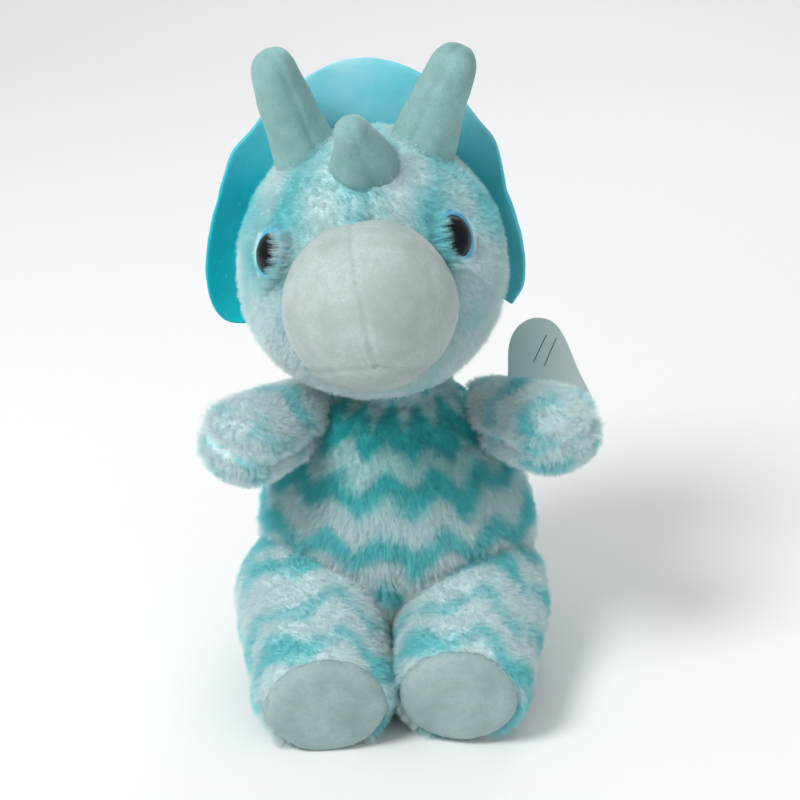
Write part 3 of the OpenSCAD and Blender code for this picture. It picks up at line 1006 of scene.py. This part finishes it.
def make_arm(side):
    """A paddle-shaped stub with a seam round its edge, where white pile stands out."""
    name = SIDE_NAME[side] + "_arm"
    axis = axis_matrix(SHOULDER[side], HAND[side])
    reach = (HAND[side] - SHOULDER[side]).length
    rows = [(-13, 0), (-12, 5), (-8, 8.6), (0, 10.8), (10, 12.2), (reach * 0.6, 13.3), (reach, 14.1),
            (reach + 6, 13.1), (reach + 12, 9.8), (reach + 15, 5.2), (reach + 15.8, 0)]
    roll = Matrix.Rotation(math.radians(side * ARM_SEAM_DEG), 4, "Z")
    arm = lathe(name + "_shell", rows, TO_FRAME @ axis @ roll, wide=1.05, tall=0.94, turns=44)
    remesh(arm, voxel_mm=3.4)
    q = points_in(arm, axis @ roll)
    puff(arm, pressure=2.0, most_mm=1.6, pinned=(np.abs(q[:, 1]) < 2) | (q[:, 2] < 0))
    refine(arm, levels=2)
    q = points_in(arm, axis @ roll)
    groove(arm, np.where(q[:, 2] > 4, q[:, 1], FAR), depth_mm=2.8, width_mm=1.9)
    rough(arm, size_mm=8.0, depth_mm=0.8, seed=60 + side)
    rough(arm, size_mm=2.6, depth_mm=0.4, seed=61 + side)
    pattern = dict(ARM_PATTERN, share=ARM_AQUA_SHARE[side])
    paint(arm, fur_shell(name + "_fur_backing", axis, **pattern))
    p = points_of(arm)
    q = points_in(arm, axis @ roll)
    from_seam = np.abs(q[:, 1])
    bare = inside_ball(p, CHEST, CHEST_R) | ((from_seam < ARM_SEAM_GAP) & (q[:, 2] > 8))
    hair = fur_hair(name + "_fur", axis, **pattern)
    grow_fur(arm, hair, bare, strands=44000, length_mm=3.0, comb=(0, -0.1, -0.2), seed=4 + side)
    seam = (from_seam > ARM_SEAM_GAP) & (from_seam < ARM_SEAM_GAP + 2.5) & (q[:, 2] > 12)
    tree = Tree(name + "_seam_fur")
    shade = tree.noise(tree.place(), 300.0)
    white = tree.finish(tree.mix(shade, WHITE_FUR, SEAM_FUR), 0.55, None, Sheen_Weight=0.1)
    grow_fur(
        arm, white, ~seam, strands=5400, length_mm=3.5, comb=(0, 0, 0.1), seed=8 + side, name="seam_fur",
        wild=0.45)
    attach(arm, name)
    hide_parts(name + "_upper", name + "_lower", name + "_stuffing")


def make_leg(side):
    """A thick stub with a smooth oval sole and a lip of fur round it."""
    name = SIDE_NAME[side] + "_leg"
    axis = axis_matrix(HIP[side], FOOT[side])
    roll = Matrix.Rotation(math.radians(SOLE_TURN_DEG[side]), 4, "Z")
    reach = (FOOT[side] - HIP[side]).length
    end = reach + 12
    rows = [(-24, 0), (-22.5, 9), (-16, 18.5), (-6, 23.5), (6, 25.0), (20, 24.2), (reach * 0.62, 22.6),
            (reach - 6, 21.6), (reach + 3, 21.4), (reach + 8, 20.6), (end - 0.5, 18.2), (end + 0.8, 14),
            (end + 0.5, 8), (end + 0.3, 0)]
    leg = lathe(name + "_shell", rows, TO_FRAME @ axis @ roll, wide=1.03, tall=0.93, turns=52)
    remesh(leg, voxel_mm=4.0)
    q = points_in(leg, axis @ roll)
    puff(leg, pressure=2.2, most_mm=2.0, pinned=(q[:, 2] > end - 4) | (q[:, 2] < 0))
    refine(leg, levels=2)
    q = points_in(leg, axis @ roll)
    groove(leg, np.where(q[:, 1] < 0, q[:, 0], FAR), depth_mm=1.0, width_mm=1.6)
    rough(leg, size_mm=9.0, depth_mm=0.9, seed=70 + side)
    rough(leg, size_mm=2.6, depth_mm=0.4, seed=72 + side)
    p = points_of(leg)
    p[:, 2] = np.maximum(p[:, 2], 0.4)
    set_points(leg, p)
    paint(leg, fur_shell(name + "_fur_backing", axis, **LEG_PATTERN))
    p = points_of(leg)
    q = points_in(leg, axis @ roll)
    half_wide, half_tall = SOLE_HALF[side]
    oval = (q[:, 0] / (half_wide - 1)) ** 2 + (q[:, 1] / (half_tall - 1)) ** 2
    on_sole = (q[:, 2] > end - 3) & (oval < 1)
    bare = on_sole | (p[:, 2] < 0.8) | inside_ball(p, BELLY, BELLY_R)
    hair = fur_hair(name + "_fur", axis, **LEG_PATTERN)
    grow_fur(leg, hair, bare, strands=80000, length_mm=3.5, comb=(0, -0.15, -0.45), seed=12 + side)
    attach(leg, name)
    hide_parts(name + "_cover", name + "_stuffing")
    make_sole(side, TO_FRAME @ axis @ roll, end, half_wide, half_tall)


def make_sole(side, matrix, end, half_wide, half_tall):
    """The oval pad on the foot, crowned, with its edge turned in under the fur."""
    name = SIDE_NAME[side] + "_sole"
    rows = [(end - 4.5, 0), (end - 4.4, 0.8), (end - 3.8, 0.97), (end - 1.6, 1.0), (end + 0.6, 0.95),
            (end + 2.1, 0.8), (end + 3.0, 0.5), (end + 3.4, 0.2), (end + 3.45, 0)]
    rows = [(height, share * half_wide) for height, share in rows]
    sole = lathe(name + "_pad", rows, matrix, tall=half_tall / half_wide, turns=60)
    remesh(sole, voxel_mm=2.0)
    refine(sole, levels=1)
    rough(sole, size_mm=8.0, depth_mm=0.5, seed=80 + side)
    rough(sole, size_mm=3.0, depth_mm=0.10, seed=81 + side)
    p = points_of(sole)
    p[:, 2] = np.maximum(p[:, 2], 0.5)
    set_points(sole, p)
    paint(sole, velour(name + "_velour", SOLE_VELOUR, SOLE_SHADE, 1.8))
    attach(sole, SIDE_NAME[side] + "_leg")
    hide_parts(name)


def make_tail():
    """A short tapered stub at the back."""
    axis = axis_matrix(*TAIL)
    reach = (TAIL[1] - TAIL[0]).length
    rows = [(-11, 0), (-10, 5), (-6, 9.3), (0, 11.2), (8, 10.4), (reach * 0.6, 8.2), (reach, 5.6),
            (reach + 3.5, 3.4), (reach + 4.8, 0)]
    tail = lathe("tail_shell", rows, TO_FRAME @ axis, turns=36)
    remesh(tail, voxel_mm=2.6)
    puff(tail, pressure=2.0, most_mm=0.8)
    refine(tail, levels=1)
    rough(tail, size_mm=7.0, depth_mm=0.7, seed=90)
    rough(tail, size_mm=2.4, depth_mm=0.35, seed=91)
    paint(tail, fur_shell("tail_fur_backing", axis, **TAIL_PATTERN))
    bare = inside_ball(points_of(tail), SEAT, SEAT_R)
    hair = fur_hair("tail_fur", axis, **TAIL_PATTERN)
    grow_fur(tail, hair, bare, strands=14000, length_mm=3.6, comb=(0, 0.3, -0.3), seed=20)
    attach(tail, "tail")
    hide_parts("tail_left", "tail_right", "tail_stuffing")


# ---------------------------------------------------------------- trim


LABEL_TURN_DEG = 125
LABEL_FOOT = 42.8
LABEL_LENGTH = 14.5
LABEL_HALF_GAP = 0.55
LABEL_HEIGHTS = (34, 38, 42, 46)
LABEL_THICK = 0.22


def make_care_label():
    """A folded satin label sewn into the seam at the back, with nothing printed on it."""
    turn = math.radians(LABEL_TURN_DEG)
    out = Vector((math.cos(turn), math.sin(turn), 0))
    across = Vector((-math.sin(turn), math.cos(turn), 0))
    steps = 40
    verts, faces = [], []
    for i in range(steps + 1):
        t = i / steps
        run = 1 - abs(2 * t - 1)
        reach = LABEL_FOOT + LABEL_LENGTH * math.sin(run * math.pi / 2) ** 0.9
        gap = LABEL_HALF_GAP * math.cos(math.pi * t) * (0.35 + 0.65 * min(1.0, 4 * (1 - run) + 0.5))
        droop = -2.2 * run**2
        for z in LABEL_HEIGHTS:
            sag = 0.5 * math.sin(z) * run
            verts.append(TO_FRAME @ (out * reach + across * (gap + sag) + Vector((0, 0, z + droop))))
    rows = len(LABEL_HEIGHTS)
    for i in range(steps):
        for j in range(rows - 1):
            k = i * rows + j
            faces.append((k, k + 1, k + rows + 1, k + rows))
    label = new_object("care_label_loop", verts, faces)
    modifier = label.modifiers.new("thickness", "SOLIDIFY")
    modifier.thickness = LABEL_THICK * MM
    settle(label)
    paint(label, satin_material())
    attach(label, "torso")
    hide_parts("care_label")


TAG_Y = 17
TAG_THICK = 0.5
TAG_TURN = 0.02
TAG_MIDDLE_X = 55
TAG_EDGE = [
    (42.4, 80), (41.0, 87), (40.8, 98), (40.9, 108.5), (43.4, 115), (48.0, 118.6), (53.0, 119.0),
    (57.5, 116.8), (61.5, 110.8), (67, 98), (72, 88), (73.6, 80.5), (70, 75.5), (62, 74),
    (52, 74.5), (46, 76)]


def make_tag():
    """The hang tag: a stiff leaf-shaped card on its fastener, blank but for two thin lines."""
    outline = smooth_rows(TAG_EDGE + TAG_EDGE[:1], 4)[:-1]
    count = len(outline)
    verts = []
    for y in (TAG_Y - TAG_THICK / 2, TAG_Y + TAG_THICK / 2):
        verts += [TO_FRAME @ Vector((x, y + TAG_TURN * (x - TAG_MIDDLE_X), z)) for x, z in outline]
    faces = [tuple(reversed(range(count))), tuple(range(count, 2 * count))]
    faces += [(i, (i + 1) % count, count + (i + 1) % count, count + i) for i in range(count)]
    tag = new_object("hang_tag_card", verts, faces)
    tag.data.materials.append(card_material())
    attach(tag, "tag")
    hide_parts("hang_tag")


def paint_hard_parts():
    """The washers and the fastener keep their CAD shapes and get their own materials."""
    nylon = nylon_material()
    for node in ("tag_fastener", "left_eye_washer", "right_eye_washer"):
        mesh = frame["nodes"][node].data
        mesh.materials.clear()
        mesh.materials.append(nylon)


# ---------------------------------------------------------------- studio, in metres


FLOOR_HALF = 3.0
BACKDROP_Y = 0.9
BACKDROP_R = 0.8
BACKDROP_TOP = 3.0
LIGHT_TARGET = (0, BODY_Y * MM, 0.12)
AIR_STRENGTH = 0.5
CAMERA_ELEVATION_DEG = 21
CAMERA_DISTANCE = 0.650
CAMERA_AIM_DROP = 0.0231
CAMERA_LENS_MM = 82.4
CAMERA_SENSOR_MM = 36


def make_floor():
    """A wide pale floor that curves up into a backdrop."""
    verts, faces = [], []
    profile = [(-FLOOR_HALF, 0.0), (BACKDROP_Y, 0.0)]
    for degrees in range(6, 91, 6):
        a = math.radians(degrees)
        profile.append((BACKDROP_Y + BACKDROP_R * math.sin(a), BACKDROP_R - BACKDROP_R * math.cos(a)))
    profile.append((BACKDROP_Y + BACKDROP_R, BACKDROP_TOP))
    for y, z in profile:
        verts += [(-FLOOR_HALF, y, z), (FLOOR_HALF, y, z)]
    for i in range(len(profile) - 1):
        faces.append((2 * i, 2 * i + 1, 2 * i + 3, 2 * i + 2))
    floor = new_object("studio_floor", verts, faces)
    paint(floor, Tree("studio_paper").finish(STUDIO_PAPER, 0.9, None, Specular_IOR_Level=0.1))


def area_light(name, place, size, power):
    data = bpy.data.lights.new(name, "AREA")
    data.shape = "DISK"
    data.size = size
    data.energy = power
    light = bpy.data.objects.new(name, data)
    bpy.context.scene.collection.objects.link(light)
    light.location = place
    light.rotation_euler = (Vector(LIGHT_TARGET) - Vector(place)).to_track_quat("-Z", "Y").to_euler()


def make_lights():
    area_light("key", (-0.68, -0.62, 1.15), size=0.5, power=13.0)
    area_light("fill", (0.9, -0.9, 0.45), size=1.0, power=1.2)
    area_light("rim", (0.3, 0.9, 0.9), size=0.8, power=3.0)
    world = bpy.data.worlds.new("studio_air")
    world.use_nodes = True
    background = world.node_tree.nodes["Background"]
    background.inputs["Color"].default_value = STUDIO_AIR
    background.inputs["Strength"].default_value = AIR_STRENGTH
    bpy.context.scene.world = world


def make_camera():
    """Straight in front, a little above the level, as far away as the view suggests."""
    elevation = math.radians(CAMERA_ELEVATION_DEG)
    target = at(1.1, 0, 119)
    forward = Vector((0, math.cos(elevation), -math.sin(elevation)))
    upward = Vector((0, math.sin(elevation), math.cos(elevation)))
    data = bpy.data.cameras.new("camera")
    data.lens = CAMERA_LENS_MM
    data.sensor_width = CAMERA_SENSOR_MM
    camera = bpy.data.objects.new("camera", data)
    bpy.context.scene.collection.objects.link(camera)
    camera.location = target - forward * CAMERA_DISTANCE
    aim = target - upward * CAMERA_AIM_DROP
    camera.rotation_euler = (aim - camera.location).to_track_quat("-Z", "Y").to_euler()
    bpy.context.scene.camera = camera


make_camera()
make_torso()
make_neck()
make_head()
make_snout()
make_eyes()
make_horns()
make_frill()
for limb_side in (LEFT, RIGHT):
    make_arm(limb_side)
    make_leg(limb_side)
make_tail()
make_care_label()
make_tag()
paint_hard_parts()
make_floor()
make_lights()
bpy.context.scene.view_settings.view_transform = "Standard"
